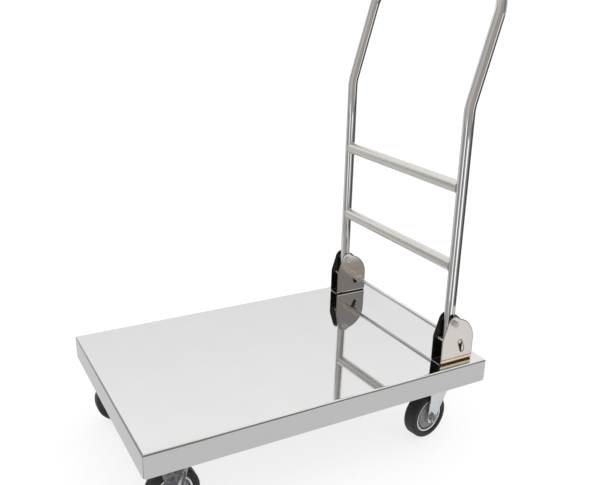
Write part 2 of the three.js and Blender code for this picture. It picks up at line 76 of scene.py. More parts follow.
# ---- materials: all node based -------------------------------------------------------------------
class Shader:
    """A principled material whose inputs can be wired to procedural textures."""

    def __init__(self, name, metallic):
        self.material = bpy.data.materials.new(name)
        self.material.use_nodes = True
        self.nodes = self.material.node_tree.nodes
        self.links = self.material.node_tree.links
        self.bsdf = self.nodes["Principled BSDF"]
        self.bsdf.inputs["Metallic"].default_value = metallic

    def noise(self, scale, stretch=(1, 1, 1), detail=4.0):
        place = self.nodes.new("ShaderNodeTexCoord")
        mapping = self.nodes.new("ShaderNodeMapping")
        mapping.inputs["Scale"].default_value = stretch
        texture = self.nodes.new("ShaderNodeTexNoise")
        texture.inputs["Scale"].default_value = scale
        texture.inputs["Detail"].default_value = detail
        texture.inputs["Roughness"].default_value = 0.5
        self.links.new(place.outputs["Object"], mapping.inputs["Vector"])
        self.links.new(mapping.outputs["Vector"], texture.inputs["Vector"])
        return texture.outputs["Fac"]

    def ramp(self, value, socket, stops):
        ramp = self.nodes.new("ShaderNodeValToRGB")
        elements = ramp.color_ramp.elements
        while len(elements) < len(stops):
            elements.new(0.5)
        for element, (position, colour) in zip(elements, stops):
            element.position = position
            element.color = (*colour, 1) if isinstance(colour, tuple) else (colour, colour, colour, 1)
        self.links.new(value, ramp.inputs["Fac"])
        self.links.new(ramp.outputs["Color"], self.bsdf.inputs[socket])

    def bump(self, value, strength, distance):
        bump = self.nodes.new("ShaderNodeBump")
        bump.inputs["Strength"].default_value = strength
        bump.inputs["Distance"].default_value = distance
        self.links.new(value, bump.inputs["Height"])
        self.links.new(bump.outputs["Normal"], self.bsdf.inputs["Normal"])


def metal(name, dark, light, rough, grain=(1, 1, 1), scale=60.0, bump=0.0, waves=0.0):
    """Bare metal with a little variation in colour and polish, and either a fine grain or long waves."""
    shader = Shader(name, 1.0)
    shader.ramp(shader.noise(scale * 0.2, detail=3.0), "Base Color", [(0.3, dark), (0.7, light)])
    shader.ramp(shader.noise(scale, grain, detail=6.0), "Roughness", [(0.35, rough[0]), (0.65, rough[1])])
    if waves:
        shader.bump(shader.noise(5.0, detail=1.0), waves, 0.002)
    elif bump:
        shader.bump(shader.noise(scale * 8, grain, detail=5.0), bump, 0.0004)
    return shader.material


def plain(name, dark, light, rough, scale=80.0, bump=0.1):
    """Plastic, rubber or paint: mottled colour, uneven gloss and a fine skin."""
    shader = Shader(name, 0.0)
    shader.ramp(shader.noise(scale, detail=5.0), "Base Color", [(0.35, dark), (0.65, light)])
    shader.ramp(shader.noise(scale * 0.5, detail=4.0), "Roughness", [(0.3, rough[0]), (0.7, rough[1])])
    shader.bump(shader.noise(scale * 6, detail=4.0), bump, 0.0003)
    return shader.material


MIRROR = metal("mirror_sheet", (0.742, 0.740, 0.738), (0.758, 0.756, 0.754), (0.03, 0.05), (1, 30, 1),
               waves=0.02)
MIRROR_TUBE = metal("mirror_tube", (0.72, 0.715, 0.71), (0.78, 0.775, 0.77), (0.03, 0.06), (1, 1, 0.1))
BRACKET_STEEL = metal("bracket_steel", (0.93, 0.87, 0.81), (0.96, 0.90, 0.84), (0.06, 0.10), (1, 1, 12),
                      bump=0.02)
SATIN = metal("satin_tube", (0.69, 0.67, 0.63), (0.75, 0.73, 0.69), (0.26, 0.36), (1, 0.05, 1), 900.0,
              bump=0.05)
FORMED = metal("formed_steel", (0.42, 0.42, 0.42), (0.52, 0.52, 0.51), (0.32, 0.46), (1, 6, 1),
               bump=0.05)
ZINC = metal("zinc_plate", (0.82, 0.85, 0.875), (0.89, 0.915, 0.93), (0.20, 0.32), (1, 1, 1), 90.0,
             bump=0.06)
SPRING = metal("spring_wire", (0.42, 0.42, 0.41), (0.55, 0.55, 0.53), (0.25, 0.35))
PIN_STEEL = metal("pin_steel", (0.92, 0.91, 0.89), (0.97, 0.96, 0.94), (0.45, 0.60))
NUT_STEEL = metal("nut_steel", (0.40, 0.43, 0.47), (0.52, 0.55, 0.59), (0.10, 0.16), (1, 1, 1),
                  90.0)
# painted highlight: a bright gold band along each bracket's base, standing in for the warm reflection in the
# bend
PAINTED_GOLD_HIGHLIGHT = plain("painted_gold_highlight", (0.84, 0.68, 0.40), (0.92, 0.78, 0.52), (0.25, 0.35), bump=0.02)
# painted shade: a dark brown band on each bracket's base bend, where the bend reflects dark
PAINTED_BEND_SHADE = metal("painted_bend_shade", (0.14, 0.085, 0.05), (0.22, 0.14, 0.08), (0.3, 0.4), (1, 1, 12))
# painted reflection: a darker metal for the fine dark line that the deck's bends reflect
PAINTED_BEND_REFLECTION = metal("painted_bend_reflection", (0.26, 0.23, 0.21), (0.34, 0.31, 0.29), (0.10, 0.16))
# darker cut edges; also the painted shade of the slot and hole walls and a painted dark outline round the
# plates
CUT_EDGE_AND_SHADE = metal("cut_edge_and_painted_shade", (0.12, 0.11, 0.10), (0.20, 0.185, 0.17), (0.30, 0.45))
# painted shade: a near-black metal for the inside of each bracket channel
PAINTED_CHANNEL_SHADE = metal("painted_channel_shade", (0.05, 0.045, 0.04), (0.10, 0.09, 0.08), (0.35, 0.5), (1, 1, 8))
# a dark metal for the strips set into the open corner seams
SEAM_DARK = metal("corner_seam_dark", (0.16, 0.13, 0.11), (0.24, 0.21, 0.18), (0.3, 0.45))
CORE = plain("core_plastic", (0.17, 0.17, 0.17), (0.22, 0.22, 0.22), (0.42, 0.55), bump=0.12)
RING = plain("rim_ring", (0.74, 0.73, 0.70), (0.84, 0.83, 0.80), (0.35, 0.45))
RUBBER = plain("tyre_rubber", (0.008, 0.010, 0.009), (0.016, 0.019, 0.017), (0.45, 0.62), 140.0,
               bump=0.2)
PLUG = plain("plug_plastic", (0.02, 0.02, 0.02), (0.035, 0.035, 0.035), (0.4, 0.55))


# ---- mesh helpers --------------------------------------------------------------------------------
def circle(cx, cy, radius, count=48, start=0.0, end=TAU):
    """Points on an arc; a full turn leaves the repeated last point out."""
    full = abs(end - start) >= TAU - 1e-6
    steps = count if full else count + 1
    return [(cx + radius * math.cos(start + (end - start) * i / count),
             cy + radius * math.sin(start + (end - start) * i / count)) for i in range(steps)]


PLANES = {
    "X": lambda u, v, w: (w, u, v),
    "Y": lambda u, v, w: (u, w, v),
    "Z": lambda u, v, w: (u, v, w),
}


def prism(outline, axis, low, high):
    """An outline swept along an axis: X takes (y, z) points, Y takes (x, z) and Z takes (x, y)."""
    bm = bmesh.new()
    place = PLANES[axis]
    rings = [[bm.verts.new(place(u, v, w)) for u, v in outline] for w in (low, high)]
    count = len(outline)
    for i in range(count):
        j = (i + 1) % count
        bm.faces.new((rings[0][i], rings[0][j], rings[1][j], rings[1][i]))
    bm.faces.new(rings[0])
    bm.faces.new(rings[1])
    bmesh.ops.recalc_face_normals(bm, faces=bm.faces)
    return bm


def cuboid(x0, x1, y0, y1, z0, z1):
    return prism([(x0, y0), (x1, y0), (x1, y1), (x0, y1)], "Z", z0, z1)


def lathe(profile, axis, centre, segments=64):
    """A closed profile of (radius, along) points turned about an axis through the centre."""
    bm = bmesh.new()
    place = PLANES[axis]
    rings = []
    for i in range(segments):
        cos, sin = math.cos(TAU * i / segments), math.sin(TAU * i / segments)
        ring = [Vector(place(r * cos, r * sin, along)) + Vector(centre) for r, along in profile]
        rings.append([bm.verts.new(point) for point in ring])
    for i in range(segments):
        here, there = rings[i], rings[(i + 1) % segments]
        for k in range(len(profile)):
            n = (k + 1) % len(profile)
            bm.faces.new((here[k], here[n], there[n], there[k]))
    bmesh.ops.remove_doubles(bm, verts=bm.verts, dist=1e-4)
    bmesh.ops.dissolve_degenerate(bm, edges=bm.edges, dist=1e-5)
    bmesh.ops.recalc_face_normals(bm, faces=bm.faces)
    return bm


def sweep(points, radius, sides=48):
    """A round bar along a path, capped at both ends."""
    bm = bmesh.new()
    points = [Vector(p) for p in points]
    tangents = []
    for i in range(len(points)):
        tangents.append((points[min(i + 1, len(points) - 1)] - points[max(i - 1, 0)]).normalized())
    normal = tangents[0].orthogonal().normalized()
    rings = []
    for i, (point, tangent) in enumerate(zip(points, tangents)):
        if i:
            normal = (tangents[i - 1].rotation_difference(tangent) @ normal).normalized()
        other = tangent.cross(normal)
        ring = []
        for k in range(sides):
            angle = TAU * k / sides
            spoke = math.cos(angle) * normal + math.sin(angle) * other
            ring.append(bm.verts.new(point + radius * spoke))
        rings.append(ring)
    for here, there in zip(rings, rings[1:]):
        for k in range(sides):
            n = (k + 1) % sides
            bm.faces.new((here[k], here[n], there[n], there[k]))
    bm.faces.new(rings[0])
    bm.faces.new(rings[-1])
    bmesh.ops.recalc_face_normals(bm, faces=bm.faces)
    return bm


def rod(axis, along, centre, radius, segments=48, chamfer=0.4):
    """A chamfered round bar along X, Y or Z between two stations."""
    low, high = sorted(along)
    profile = [(0, low), (radius - chamfer, low), (radius, low + chamfer), (radius, high - chamfer),
               (radius - chamfer, high), (0, high)]
    return lathe(profile, axis, centre, segments)


def temporary(bm):
    mesh = bpy.data.meshes.new("tmp")
    bm.to_mesh(mesh)
    bm.free()
    obj = bpy.data.objects.new("tmp", mesh)
    scene.collection.objects.link(obj)
    return obj


def carve(bm, tools, operation="DIFFERENCE"):
    """Exact booleans, one tool after another."""
    base = temporary(bm)
    cutters = [temporary(tool) for tool in tools]
    for cutter in cutters:
        modifier = base.modifiers.new("cut", "BOOLEAN")
        modifier.operation = operation
        modifier.solver = "EXACT"
        modifier.object = cutter
    evaluated = base.evaluated_get(bpy.context.evaluated_depsgraph_get())
    result = bmesh.new()
    result.from_mesh(evaluated.to_mesh())
    evaluated.to_mesh_clear()
    for obj in (base, *cutters):
        bpy.data.meshes.remove(obj.data)
    return result


def soften(bm, width, angle=40.0, segments=2):
    """Small rounds on the hard edges, which is what catches the light on sheet and bar ends."""
    bmesh.ops.remove_doubles(bm, verts=bm.verts, dist=1e-3)
    hard = [e for e in bm.edges if len(e.link_faces) == 2 and e.calc_face_angle(0) > math.radians(angle)]
    bmesh.ops.bevel(bm, geom=hard, offset=width, segments=segments, profile=0.5, affect="EDGES",
                    clamp_overlap=True)
    return bm


def joined(*parts):
    """Several loose shells in one mesh."""
    whole = bmesh.new()
    for part in parts:
        mesh = bpy.data.meshes.new("tmp")
        part.to_mesh(mesh)
        part.free()
        whole.from_mesh(mesh)
        bpy.data.meshes.remove(mesh)
    return whole


def piece(name, bm, material, body, stands_for=(), place=None, sharp=32.0, flat=False):
    """Makes the object, shades it and tells the frame what it rides on and stands for."""
    if place is not None:
        bm.transform(place)
    for face in bm.faces:
        face.smooth = True
    for edge in bm.edges:
        if len(edge.link_faces) == 2 and edge.calc_face_angle(0) > math.radians(sharp):
            edge.smooth = False
    mesh = bpy.data.meshes.new(name)
    bm.to_mesh(mesh)
    bm.free()
    mesh.transform(Matrix.Scale(MM, 4))
    for finish in (material if isinstance(material, tuple) else (material,)):
        mesh.materials.append(finish)
    obj = bpy.data.objects.new(name, mesh)
    scene.collection.objects.link(obj)
    if flat:
        weighted = obj.modifiers.new("flat_faces", "WEIGHTED_NORMAL")
        weighted.keep_sharp = True
    if body:
        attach(obj, body)
    if stands_for:
        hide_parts(*stands_for)
    return obj


def paint(bm, index, test):
    """Gives the faces that pass the test another of the piece's materials."""
    for face in bm.faces:
        if test(face.calc_center_median(), face.normal):
            face.material_index = index


def hexagon(flats):
    reach = flats / math.sqrt(3)
    return [(reach * math.cos(i * TAU / 6), reach * math.sin(i * TAU / 6)) for i in range(6)]


def hex_block(axis, along, centre, flats):
    """A hexagon with its corners turned down by a cone at the faces that show."""
    low, high = sorted(along)
    block = prism(hexagon(flats), axis, low, high)
    reach = flats / math.sqrt(3)
    bevel = reach * 0.13
    inner = flats / 2 * 0.96
    outer = reach + 0.01
    cone = [(0, low), (inner, low), (outer, low + bevel), (outer, high - bevel), (inner, high), (0, high)]
    block = carve(block, [lathe(cone, axis, (0, 0, 0), 48)], "INTERSECT")
    block.transform(Matrix.Translation(centre))
    return block


# ---- deck ----------------------------------------------------------------------------------------
def deck_profile(half, inset, bottom):
    top = DECK_TOP - inset
    r = BEND - inset
    h = half - inset
    right = circle(h - r, top - r, r, 12, 0, math.pi / 2)
    left = [(-x, z) for x, z in reversed(right)]
    return [(-h, bottom), (h, bottom), *right, *left]


def deck_shell(inset, bottom):
    along_x = prism(deck_profile(DECK_Y, inset, bottom), "X", -DECK_X + inset, DECK_X - inset)
    along_y = prism(deck_profile(DECK_X, inset, bottom), "Y", -DECK_Y + inset, DECK_Y - inset)
    return carve(along_x, [along_y], "INTERSECT")


def corner_cutters():
    """A rounded lower corner on each flange, and the open seam where two flanges meet."""
    low = DECK_TOP - SKIRT
    tools = []
    r = FLANGE_CORNER
    for sx, sy in CORNERS:
        flanges = (("Y", DECK_X, sx, DECK_Y, sy), ("X", DECK_Y, sy, DECK_X, sx))
        for axis, half, sign, other, other_sign in flanges:
            arc = circle(half - r, low + r, r, 10, -math.pi / 2, 0)
            outline = [(half - r, low - 2), *arc, (half + 2, low + r), (half + 2, low - 2)]
            outline = [(sign * u, v) for u, v in outline]
            span = sorted((other_sign * (other + 2), other_sign * (other - SHEET - 0.2)))
            tools.append(prism(outline, axis, *span))
        x0, x1 = sorted((sx * (DECK_X - SEAM), sx * (DECK_X + 1)))
        y0, y1 = sorted((sy * (DECK_Y - SEAM), sy * (DECK_Y + 1)))
        tools.append(cuboid(x0, x1, y0, y1, low - 1, DECK_TOP - BEND + 1))
    return tools


deck = carve(deck_shell(0, DECK_TOP - SKIRT), [deck_shell(SHEET, DECK_TOP - SKIRT - 5), *corner_cutters()])
deck.normal_update()
# the lower part of each bend is painted a darker metal, a painted reflection of the dark room that shows as
# a fine dark line
paint(deck, 1, lambda at, normal: 0.1 < normal.z < 0.5 and at.z > DECK_TOP - BEND - 1)
piece("deck_sheet", deck, (MIRROR, PAINTED_BEND_REFLECTION), "chassis", ["deck_tray"], sharp=20.0)
# a dark strip sits in each open corner seam
seams = []
for sx, sy in CORNERS:
    span_x = sorted((sx * (DECK_X - SEAM - 0.8), sx * (DECK_X - SEAM + 0.35)))
    span_y = sorted((sy * (DECK_Y - SEAM - 0.8), sy * (DECK_Y - SEAM + 0.35)))
    seams.append(cuboid(*span_x, *span_y, DECK_TOP - SKIRT + 5, DECK_TOP - BEND + 1))
piece("corner_seams", joined(*seams), SEAM_DARK, "chassis")


# ---- handle brackets -----------------------------------------------------------------------------
def bracket_outline():
    hump = Vector((PIVOT_X - 1, DECK_TOP + 46))
    nose = Vector((PIVOT_X, PIVOT_Z))
    shoulder = Vector((PIVOT_X - 27, DECK_TOP + 56))
    hump_r, nose_r = 54.5, 16.0
    between = nose - hump
    apart = between.length
    turn = math.atan2(between.y, between.x)
    hump_end = turn - math.acos((apart ** 2 + hump_r ** 2 - nose_r ** 2) / (2 * apart * hump_r))
    meet = hump + hump_r * Vector((math.cos(hump_end), math.sin(hump_end)))
    nose_start = math.atan2(meet.y - nose.y, meet.x - nose.x)
    to_nose = nose - shoulder
    nose_end = math.atan2(to_nose.y, to_nose.x) + math.asin(nose_r / to_nose.length) + math.pi / 2
    foot = [(shoulder.x, DECK_TOP), (PIVOT_X + CHANNEL_REAR, DECK_TOP)]
    return [*foot, *circle(hump.x, hump.y, hump_r, 40, 0, hump_end),
            *circle(nose.x, nose.y, nose_r, 24, nose_start, nose_end)[1:], tuple(shoulder)]


def slot_outline():
    down = math.atan2(LOCK_TRAVEL_Z, LOCK_TRAVEL_X)
    upper = circle(LOCK_X, LOCK_Z, SLOT_R, 16, down + math.pi / 2, down + 1.5 * math.pi)
    end_x, end_z = LOCK_X + LOCK_TRAVEL_X, LOCK_Z + LOCK_TRAVEL_Z
    lower = circle(end_x, end_z, SLOT_R, 16, down - math.pi / 2, down + math.pi / 2)
    return upper + lower


def channel(middle):
    """The bent sheet of one bracket: a U folded up from its base, with its slot and pivot hole."""
    def u_shape(half, floor, bend):
        left = circle(middle - half + bend, floor + bend, bend, 10, math.pi, 1.5 * math.pi)
        right = circle(middle + half - bend, floor + bend, bend, 10, -math.pi / 2, 0)
        return [(middle + half, 400), (middle - half, 400), *left, *right]

    wide = (middle - 25, middle + 25)
    gap, t = 0.05, CHANNEL_SHEET
    shell = prism(u_shape(CHANNEL_HALF, DECK_TOP + gap, CHANNEL_BEND), "X", PIVOT_X - 40, PIVOT_X + 70)
    hollow = u_shape(CHANNEL_HALF - t, DECK_TOP + (gap + t), CHANNEL_BEND - t)
    inside = prism(hollow, "X", PIVOT_X - 50, PIVOT_X + 80)
    hole = prism(circle(PIVOT_X, PIVOT_Z, 4.3, 32), "Y", *wide)
    body = carve(shell, [prism(bracket_outline(), "Y", *wide)], "INTERSECT")
    return soften(carve(body, [inside, prism(slot_outline(), "Y", *wide), hole]), 0.6, 45.0)


# the bracket's finishes: steel, painted shade inside, darker cut edges with painted outline, painted
# highlight, painted dark band
BRACKET_FINISHES = (BRACKET_STEEL, PAINTED_CHANNEL_SHADE, CUT_EDGE_AND_SHADE, PAINTED_GOLD_HIGHLIGHT, PAINTED_BEND_SHADE)
SHADED_INSIDE, CUT, GOLD_BAND, DARK_BAND = 1, 2, 3, 4


def finish_bracket(sheet, middle, sign):
    """Painted shade inside the channel, darker cut edges with a painted dark outline, and a painted gold
    highlight over a painted dark band along the base.
    """
    highlight_line = (0, 0, DECK_TOP + HIGHLIGHT_TOP)
    bmesh.ops.bisect_plane(sheet, geom=sheet.verts[:] + sheet.edges[:] + sheet.faces[:], dist=1e-4,
                           plane_co=highlight_line, plane_no=(0, 0, 1))
    sheet.normal_update()
    skin = CHANNEL_HALF - 0.5
    plates = [face for face in sheet.faces
              if abs(face.normal.y) > 0.99 and abs(face.calc_center_median().y - middle) > skin]
    # a narrow band just inside each plate's edges and holes, painted dark below as a painted outline
    rim = bmesh.ops.inset_region(sheet, faces=plates, thickness=0.9, use_even_offset=True)["faces"]
    sheet.normal_update()
    # painted shade on the faces inside the channel
    paint(sheet, SHADED_INSIDE, lambda at, normal: abs(at.y - middle) < skin and at.z > DECK_TOP + 1.5)
    # edge faces get the darker cut-edge metal, which on the slot and hole walls is painted shade
    paint(sheet, CUT, lambda at, normal: abs(normal.y) < 0.9 and at.z > DECK_TOP + 6)
    for face in rim:
        face.material_index = CUT
    # a painted gold highlight along the outer plate, from its base up to the cut line
    paint(sheet, GOLD_BAND, lambda at, normal: abs(normal.y) > 0.9 and sign * (at.y - middle) > skin
          and at.z < DECK_TOP + HIGHLIGHT_TOP)
    # a painted dark band on the bends along the base, higher on the outer side
    paint(sheet, DARK_BAND, lambda at, normal: abs(normal.y) < 0.985 and abs(at.y - middle) > 6
          and at.z < DECK_TOP + (6 if sign * (at.y - middle) > 0 else 1.5))


for side, sign in SIDES:
    middle = sign * CHANNEL_Y
    outer = middle + sign * CHANNEL_HALF
    inner = middle - sign * CHANNEL_HALF
    sheet = channel(middle)
    finish_bracket(sheet, middle, sign)
    piece(f"bracket_sheet_{side}", sheet, BRACKET_FINISHES, "chassis", [f"handle_bracket_{side}"],
          sharp=30.0, flat=True)
    centre = (PIVOT_X, 0, PIVOT_Z)
    head_face = inner - sign * 5.6
    head = hex_block("Y", (inner - sign * 0.3, head_face), centre, PIVOT_FLATS)
    dimple = lathe([(0, -0.4), (3.2, -0.4), (3.6, 0.4), (0, 0.4)], "Y", (PIVOT_X, head_face, PIVOT_Z), 32)
    shank = rod("Y", (inner - sign * 0.5, outer + sign * 9.2), centre, 3.95, 32, 0.8)
    piece(f"pivot_screw_{side}", joined(carve(head, [dimple]), shank), ZINC, "chassis",
          [f"pivot_bolt_{side}"])
    nut = hex_block("Y", (outer + sign * 0.3, outer + sign * 7.2), centre, PIVOT_FLATS)
    bore = prism(circle(PIVOT_X, PIVOT_Z, 4.1, 32), "Y", *sorted((outer, outer + sign * 9)))
    piece(f"pivot_locknut_{side}", carve(nut, [bore]), ZINC, "chassis",
          [f"pivot_nut_{side}"])
    low, high = middle - CHANNEL_HALF + 2.1, middle + CHANNEL_HALF - 2.1
    stop = rod("Y", (low, high), (STOP_X, 0, STOP_Z), 2.5, 32)
    piece(f"stop_rod_{side}", stop, PIN_STEEL, "chassis", [f"stop_pin_{side}"])
    bush = lathe([(4.3, low), (6, low), (6, high), (4.3, high)], "Y", centre, 40)
    piece(f"pivot_sleeve_{side}", bush, ZINC, "chassis", [f"pivot_bush_{side}"])


# ---- folding handle ------------------------------------------------------------------------------
def handle_path():
    """Up one leg, back at the knee, over the top grip and down the other leg."""
    up = Vector((math.sin(LEAN), 0, math.cos(LEAN)))
    knee = Vector((PIVOT_X, -LEG_Y, DECK_TOP + KNEE_HEIGHT))
    centre = knee - Vector((0, 0, KNEE_R * math.tan(LEAN / 2))) + Vector((KNEE_R, 0, 0))
    points = [Vector((PIVOT_X, -LEG_Y, LEG_BOTTOM + 75 * i)) for i in range(6)]
    for i in range(17):
        angle = LEAN * i / 16
        points.append(centre + Vector((-KNEE_R * math.cos(angle), 0, KNEE_R * math.sin(angle))))
    rise = (TOP_HEIGHT - KNEE_HEIGHT) / math.cos(LEAN)
    corner = knee + up * (rise - TOP_R) + Vector((0, TOP_R, 0))
    for i in range(25):
        angle = math.pi / 2 * i / 24
        points.append(corner + Vector((0, -TOP_R * math.cos(angle), 0)) + up * (TOP_R * math.sin(angle)))
    return points + [Vector((p.x, -p.y, p.z)) for p in reversed(points)]


bow = sweep(handle_path(), TUBE_R)
piece("handle_bow", bow, MIRROR_TUBE, "handle", ["handle_tube"], sharp=50.0)


def weld_bead(z, leg_sign):
    """The fillet of weld round a cross bar where it meets the leg."""
    points = []
    for i in range(49):
        angle = TAU * i / 48
        across = CROSS_BAR_R * math.cos(angle)
        y = LEG_Y - max(6.5, math.sqrt(max(0.0, TUBE_R ** 2 - across ** 2)))
        height = z + CROSS_BAR_R * 1.01 * math.sin(angle)
        points.append(Vector((PIVOT_X + across * 1.01, leg_sign * (y - 0.5), height)))
    return sweep(points, 0.9, 12)


for label, height in CROSS_BARS:
    z = DECK_TOP + height
    reach = LEG_Y - 6.5
    profile = [(0, -reach), (CROSS_BAR_R, -reach), (CROSS_BAR_R, reach), (0, reach)]
    bar = lathe(profile, "Y", (PIVOT_X, 0, z), 48)
    piece(f"{label}_rail", bar, SATIN, "handle", [f"{label}_cross_bar"], sharp=50.0)
    for side, sign in SIDES:
        bead = weld_bead(z, sign)
        piece(f"{label}_weld_{side}", bead, SATIN, "handle", sharp=80.0)

for side, sign in SIDES:
    low = LEG_BOTTOM - 1.8
    profile = [(0, low), (TUBE_R - 0.6, low), (TUBE_R - 0.1, low + 0.5), (TUBE_R - 0.1, low + 1.6),
               (9.4, low + 1.7), (9.4, low + 9), (0, low + 9)]
    cap = lathe(profile, "Z", (PIVOT_X, sign * LEG_Y, 0), 48)
    piece(f"leg_cap_{side}", cap, PLUG, "handle", [f"leg_plug_{side}"])


# ---- lock bar ------------------------------------------------------------------------------------
bar_reach = CHANNEL_Y + CHANNEL_HALF - 0.5
lock_rod = rod("Y", (-bar_reach, bar_reach), (LOCK_X, 0, LOCK_Z), LOCK_R, 48, 0.7)
piece("lock_rod", lock_rod, MIRROR_TUBE, "lock", ["lock_bar"])
for side, sign in SIDES:
    start = sign * (CHANNEL_Y - CHANNEL_HALF - 0.6)
    end = start - sign * 28
    low, high = sorted((start, end))
    sleeve = lathe([(4.6, low), (7.3, low), (8, low + 0.7), (8, high - 0.7), (7.3, high), (4.6, high)], "Y",
                   (LOCK_X, 0, LOCK_Z), 48)
    slant = Vector((-1, 0, 1)).normalized().to_track_quat("Z", "Y").to_matrix().to_4x4()
    place = Matrix.Translation((LOCK_X, end + sign * 6, LOCK_Z)) @ slant
    hole = lathe([(0, 4), (2.3, 4), (2.3, 10), (0, 10)], "Z", (0, 0, 0), 24)
    hole.transform(place)
    collar = carve(sleeve, [hole])
    piece(f"collar_{side}", collar, SATIN, "lock", [f"lock_collar_{side}"])
    screw = carve(rod("Z", (4.9, 8.3), (0, 0, 0), 2.0, 24, 0.3), [prism(hexagon(2.0), "Z", 6.9, 9)])
    piece(f"set_screw_{side}", screw, ZINC, "lock", [f"collar_screw_{side}"],
          place=place)


def spring_path(y):
    """Hook round the pivot, close coils, and a hook round the lock bar."""
    pivot = Vector((PIVOT_X, y, PIVOT_Z))
    bar = Vector((LOCK_X, y, LOCK_Z))
    down = (bar - pivot).normalized()
    across = Vector((down.z, 0, -down.x))
    length = (bar - pivot).length
    hook, coil = 6.9, 1.8
    points = []
    for i in range(27):
        angle = math.radians(-150 + 9.375 * i)
        points.append(pivot - down * hook * math.cos(angle) + across * hook * math.sin(angle))
    points.append(pivot + down * 8.5 + across * 2.5)
    turns, start, end = 16, 11.0, length - 9.0
    for i in range(turns * 16 + 1):
        angle = TAU * i / 16
        along = start + (end - start) * i / (turns * 16)
        sideways = Vector((0, coil * math.sin(angle), 0))
        points.append(pivot + down * along + across * (coil * math.cos(angle)) + sideways)
    points.append(bar - down * 6.4 + across * 1.5)
    return points


for side, sign in SIDES:
    y = sign * (CHANNEL_Y + CHANNEL_HALF - 4.7)
    coil = piece(f"return_spring_{side}", sweep(spring_path(y), 0.4, 8), SPRING, None, sharp=80.0)
    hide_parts(f"lock_spring_{side}")
    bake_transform(coil)


# ---- casters -------------------------------------------------------------------------------------
def mirrored(half):
    return half + [(r, -a) for r, a in reversed(half)]


def tyre():
    shoulder = circle(WHEEL_HALF - 7, WHEEL_R - 7, 7, 10, math.pi / 2, 0)
    half = [(WHEEL_R, 0.35), (WHEEL_R, 1.0)] + [(r, a) for a, r in shoulder]
    half += [(40.0, WHEEL_HALF), (39.2, WHEEL_HALF - 0.8), (37.3, WHEEL_HALF - 2.6), (37.3, WHEEL_HALF - 4)]
    return lathe(mirrored(half), "Y", (0, 0, 0), 96)


def core():
    h = WHEEL_HALF
    rim_seat = [(36.9, h - 5), (36.4, h - 4.6), (32.4, h - 4.6), (32.0, h - 5)]
    groove = [(31.6, h - 9), (28.6, h - 9), (28.2, h - 5), (27.6, h - 4.4)]
    boss = [(15.2, h - 4.0), (14.0, h - 3.4), (13.4, h + 1.0), (12.8, h + 1.4), (8.3, h + 1.4)]
    half = rim_seat + groove + boss
    return lathe(mirrored(half), "Y", (0, 0, 0), 96)


def rim_ring(sign):
    a = WHEEL_HALF - 4.6
    section = ((32.7, 0), (32.9, 0.9), (33.7, 1.5), (34.9, 1.5), (35.7, 0.9), (35.9, 0))
    bead = [(r, sign * (a + h)) for r, h in section]
    return lathe(bead, "Y", (0, 0, 0), 96)


def build_wheel(name, centre, turn, outward, wheel_body, fork_body):
    place = Matrix.Translation(centre) @ Matrix.Rotation(turn, 4, "Z")
    piece(f"tyre_tread_{name}", tyre(), RUBBER, wheel_body, [f"tyre_{name}"], place)
    piece(f"hub_{name}", core(), CORE, wheel_body, [f"wheel_core_{name}"], place)
    rings = joined(rim_ring(1), rim_ring(-1))
    piece(f"rim_ring_{name}", rings, RING, wheel_body, place=place)
    leg = FORK_INNER + FORK_SHEET + 0.3
    nut = carve(hex_block("Y", (outward * leg, outward * (leg + 8)), (0, 0, 0), AXLE_FLATS),
                [prism(circle(0, 0, 5.1, 32), "Y", *sorted((outward * (leg - 1), outward * (leg + 9))))])
    piece(f"axle_locknut_{name}", nut, NUT_STEEL, fork_body, [f"axle_nut_{name}"],
          place)
    head = hex_block("Y", (-outward * leg, -outward * (leg + 6.4)), (0, 0, 0), AXLE_FLATS)
    shank = rod("Y", (-outward * (leg + 0.5), outward * (leg + 10.5)), (0, 0, 0), 4.95, 32, 0.9)
    piece(f"axle_screw_{name}", joined(head, shank), NUT_STEEL, fork_body, [f"axle_bolt_{name}"],
          place)
    span = FORK_INNER - 0.3
    wall = [(5.2, -span), (7.7, -span), (8, -span + 0.3), (8, span - 0.3), (7.7, span), (5.2, span)]
    sleeve = lathe(wall, "Y", (0, 0, 0), 40)
    piece(f"axle_tube_{name}", sleeve, ZINC, fork_body, [f"axle_sleeve_{name}"], place)


def fork_outline(front, rear, top, axle_x):
    tip = Vector((axle_x, WHEEL_R))

    def tangent(x, side):
        away = Vector((x, top)) - tip
        return math.atan2(away.y, away.x) + side * math.acos(FORK_TIP / away.length)

    toe = circle(tip.x, tip.y, FORK_TIP, 24, tangent(front, 1), tangent(rear, -1) + TAU)
    return [(rear, top), (front, top), *toe]


def fork(outline, top, axle_x, kingpin_hole):
    def arch(half, height, radius):
        right = circle(half - radius, height - radius, radius, 10, 0, math.pi / 2)
        return [(-half, -5), (half, -5), *right, *[(-y, z) for y, z in reversed(right)]]

    shell = prism(arch(FORK_INNER + FORK_SHEET, top, 8), "X", -80, 70)
    inside = prism(arch(FORK_INNER, top - FORK_SHEET, 5.5), "X", -85, 75)
    body = carve(shell, [prism(outline, "Y", -40, 40)], "INTERSECT")
    tools = [inside, prism(circle(axle_x, WHEEL_R, 5.3, 32), "Y", -40, 40)]
    if kingpin_hole:
        tools.append(prism(circle(0, 0, KING_HOLE_R, 32), "Z", 90, 150))
    return soften(carve(body, tools), 0.4, 45.0)


